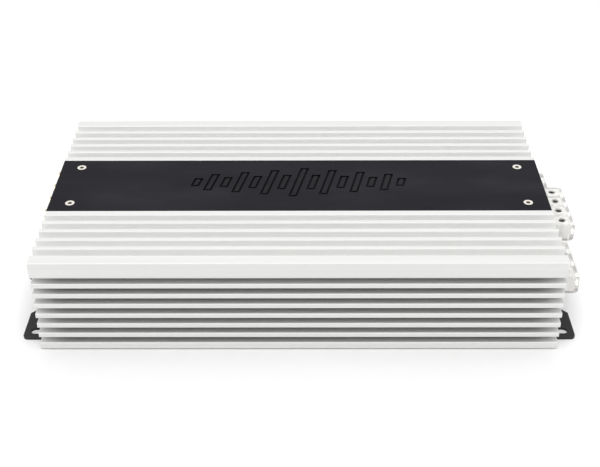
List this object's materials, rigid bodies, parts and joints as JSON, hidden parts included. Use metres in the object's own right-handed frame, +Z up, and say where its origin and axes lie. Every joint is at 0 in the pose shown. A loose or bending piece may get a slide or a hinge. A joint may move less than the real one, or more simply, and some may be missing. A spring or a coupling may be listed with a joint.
{
  "type": "car audio amplifier",
  "caption": "Low finned aluminium car audio power amplifier with a black badge plate, clear wire terminals at one end, and input jacks and knobs at the other.",
  "frame": {"origin": "centre of the four mounting slots, on the plane the part is screwed down to", "axes": "+X along the fins towards the wire terminals, +Y across the fins, +Z up out of the mounting plane"},
  "size_m": [0.3301, 0.17, 0.0609],
  "materials": {
    "satin_aluminium": "satin anodised, with fine lines along the extrusion",
    "badge_black": "black anodised, brushed along its length",
    "sheet_black": "fine-textured black powder coat",
    "panel_black": "satin black anodised",
    "bright_steel": "machined stainless",
    "badge_screw_steel": "nickel plated, with dark sockets",
    "black_steel": "black oxide",
    "clear_plastic": "clear polycarbonate, polished",
    "nickel_brass": "nickel plate",
    "set_screw_steel": "dark zinc",
    "gold_plate": "gold plate",
    "black_plastic": "fine moulded grain",
    "white_plastic": "smooth moulded",
    "blue_lens": "clear tinted epoxy",
    "red_lens": "clear tinted epoxy",
    "board_green": "solder mask",
    "ferrite": "sintered",
    "copper_wire": "enamelled copper",
    "capacitor_sleeve": "shrink sleeve",
    "pad_silicone": "matt silicone",
    "tinned_metal": "tin plate"
  },
  "bodies": {
    "amplifier": {"heatsink_body": "satin_aluminium", "badge_plate": "badge_black", "badge_screws": "badge_screw_steel", "bottom_plate": "sheet_black", "bottom_plate_screws": "black_steel", "input_end_panel": "panel_black", "terminal_end_panel": "panel_black", "end_panel_screws": "black_steel", "speaker_terminal_housing": "clear_plastic", "speaker_terminal_barrels": "nickel_brass", "positive_terminal_housing": "clear_plastic", "positive_terminal_barrels": "nickel_brass", "ground_terminal_housing": "clear_plastic", "ground_terminal_barrels": "nickel_brass", "rca_housing": "black_plastic", "rca_shells": "gold_plate", "rca_insulators": "white_plastic", "rca_contacts": "gold_plate", "pot_bodies": "tinned_metal", "slide_switch_bodies": "tinned_metal", "remote_port_body": "black_plastic", "remote_port_contacts": "gold_plate", "power_led": "blue_lens", "protect_led": "red_lens", "preamp_board": "board_green", "control_chips": "black_plastic", "board_link_header": "black_plastic", "main_board": "board_green", "board_standoffs": "gold_plate", "board_screws": "bright_steel", "transformer_core": "ferrite", "transformer_winding": "copper_wire", "rail_capacitors": "capacitor_sleeve", "supply_capacitors": "capacitor_sleeve", "inductor_cores": "ferrite", "inductor_windings": "copper_wire", "driver_board": "board_green", "transistor_cases": "black_plastic", "transistor_leads": "tinned_metal", "insulator_pads": "pad_silicone", "clamp_bars": "bright_steel", "clamp_screws": "black_steel"},
    "gain_knob": {"gain_knob": "black_plastic"},
    "low_pass_knob": {"low_pass_knob": "black_plastic"},
    "subsonic_knob": {"subsonic_knob": "black_plastic"},
    "bass_boost_knob": {"bass_boost_knob": "black_plastic"},
    "phase_switch_lever": {"phase_switch_lever": "white_plastic"},
    "mode_switch_lever": {"mode_switch_lever": "white_plastic"},
    "speaker_set_screw_1": {"speaker_set_screw_1": "set_screw_steel"},
    "speaker_set_screw_2": {"speaker_set_screw_2": "set_screw_steel"},
    "speaker_set_screw_3": {"speaker_set_screw_3": "set_screw_steel"},
    "speaker_set_screw_4": {"speaker_set_screw_4": "set_screw_steel"},
    "positive_set_screw_1": {"positive_set_screw_1": "set_screw_steel"},
    "positive_set_screw_2": {"positive_set_screw_2": "set_screw_steel"},
    "positive_set_screw_3": {"positive_set_screw_3": "set_screw_steel"},
    "ground_set_screw_1": {"ground_set_screw_1": "set_screw_steel"},
    "ground_set_screw_2": {"ground_set_screw_2": "set_screw_steel"},
    "ground_set_screw_3": {"ground_set_screw_3": "set_screw_steel"}
  },
  "joints": [
    {"name": "gain_turn", "type": "hinge", "parent": "amplifier", "child": "gain_knob", "pos_m": [-0.15, -0.013, 0.0365], "axis": [1, 0, 0], "range_deg": [-135, 135]},
    {"name": "low_pass_turn", "type": "hinge", "parent": "amplifier", "child": "low_pass_knob", "pos_m": [-0.15, -0.028, 0.0365], "axis": [1, 0, 0], "range_deg": [-135, 135]},
    {"name": "subsonic_turn", "type": "hinge", "parent": "amplifier", "child": "subsonic_knob", "pos_m": [-0.15, -0.043, 0.0365], "axis": [1, 0, 0], "range_deg": [-135, 135]},
    {"name": "bass_boost_turn", "type": "hinge", "parent": "amplifier", "child": "bass_boost_knob", "pos_m": [-0.15, -0.058, 0.0365], "axis": [1, 0, 0], "range_deg": [-135, 135]},
    {"name": "phase_switch_slide", "type": "slide", "parent": "amplifier", "child": "phase_switch_lever", "axis": [0, 1, 0], "range_m": [0, 0.0025]},
    {"name": "mode_switch_slide", "type": "slide", "parent": "amplifier", "child": "mode_switch_lever", "axis": [0, 1, 0], "range_m": [-0.0025, 0]},
    {"name": "speaker_set_screw_1_travel", "type": "slide", "parent": "amplifier", "child": "speaker_set_screw_1", "axis": [0, 0, -1], "range_m": [0, 0.0024]},
    {"name": "speaker_set_screw_2_travel", "type": "slide", "parent": "amplifier", "child": "speaker_set_screw_2", "axis": [0, 0, -1], "range_m": [0, 0.0024]},
    {"name": "speaker_set_screw_3_travel", "type": "slide", "parent": "amplifier", "child": "speaker_set_screw_3", "axis": [0, 0, -1], "range_m": [0, 0.0024]},
    {"name": "speaker_set_screw_4_travel", "type": "slide", "parent": "amplifier", "child": "speaker_set_screw_4", "axis": [0, 0, -1], "range_m": [0, 0.0024]},
    {"name": "positive_set_screw_1_travel", "type": "slide", "parent": "amplifier", "child": "positive_set_screw_1", "axis": [0, 0, -1], "range_m": [0, 0.0024]},
    {"name": "positive_set_screw_2_travel", "type": "slide", "parent": "amplifier", "child": "positive_set_screw_2", "axis": [0, 0, -1], "range_m": [0, 0.0024]},
    {"name": "positive_set_screw_3_travel", "type": "slide", "parent": "amplifier", "child": "positive_set_screw_3", "axis": [0, 0, -1], "range_m": [0, 0.0024]},
    {"name": "ground_set_screw_1_travel", "type": "slide", "parent": "amplifier", "child": "ground_set_screw_1", "axis": [0, 0, -1], "range_m": [0, 0.0024]},
    {"name": "ground_set_screw_2_travel", "type": "slide", "parent": "amplifier", "child": "ground_set_screw_2", "axis": [0, 0, -1], "range_m": [0, 0.0024]},
    {"name": "ground_set_screw_3_travel", "type": "slide", "parent": "amplifier", "child": "ground_set_screw_3", "axis": [0, 0, -1], "range_m": [0, 0.0024]}
  ]
}
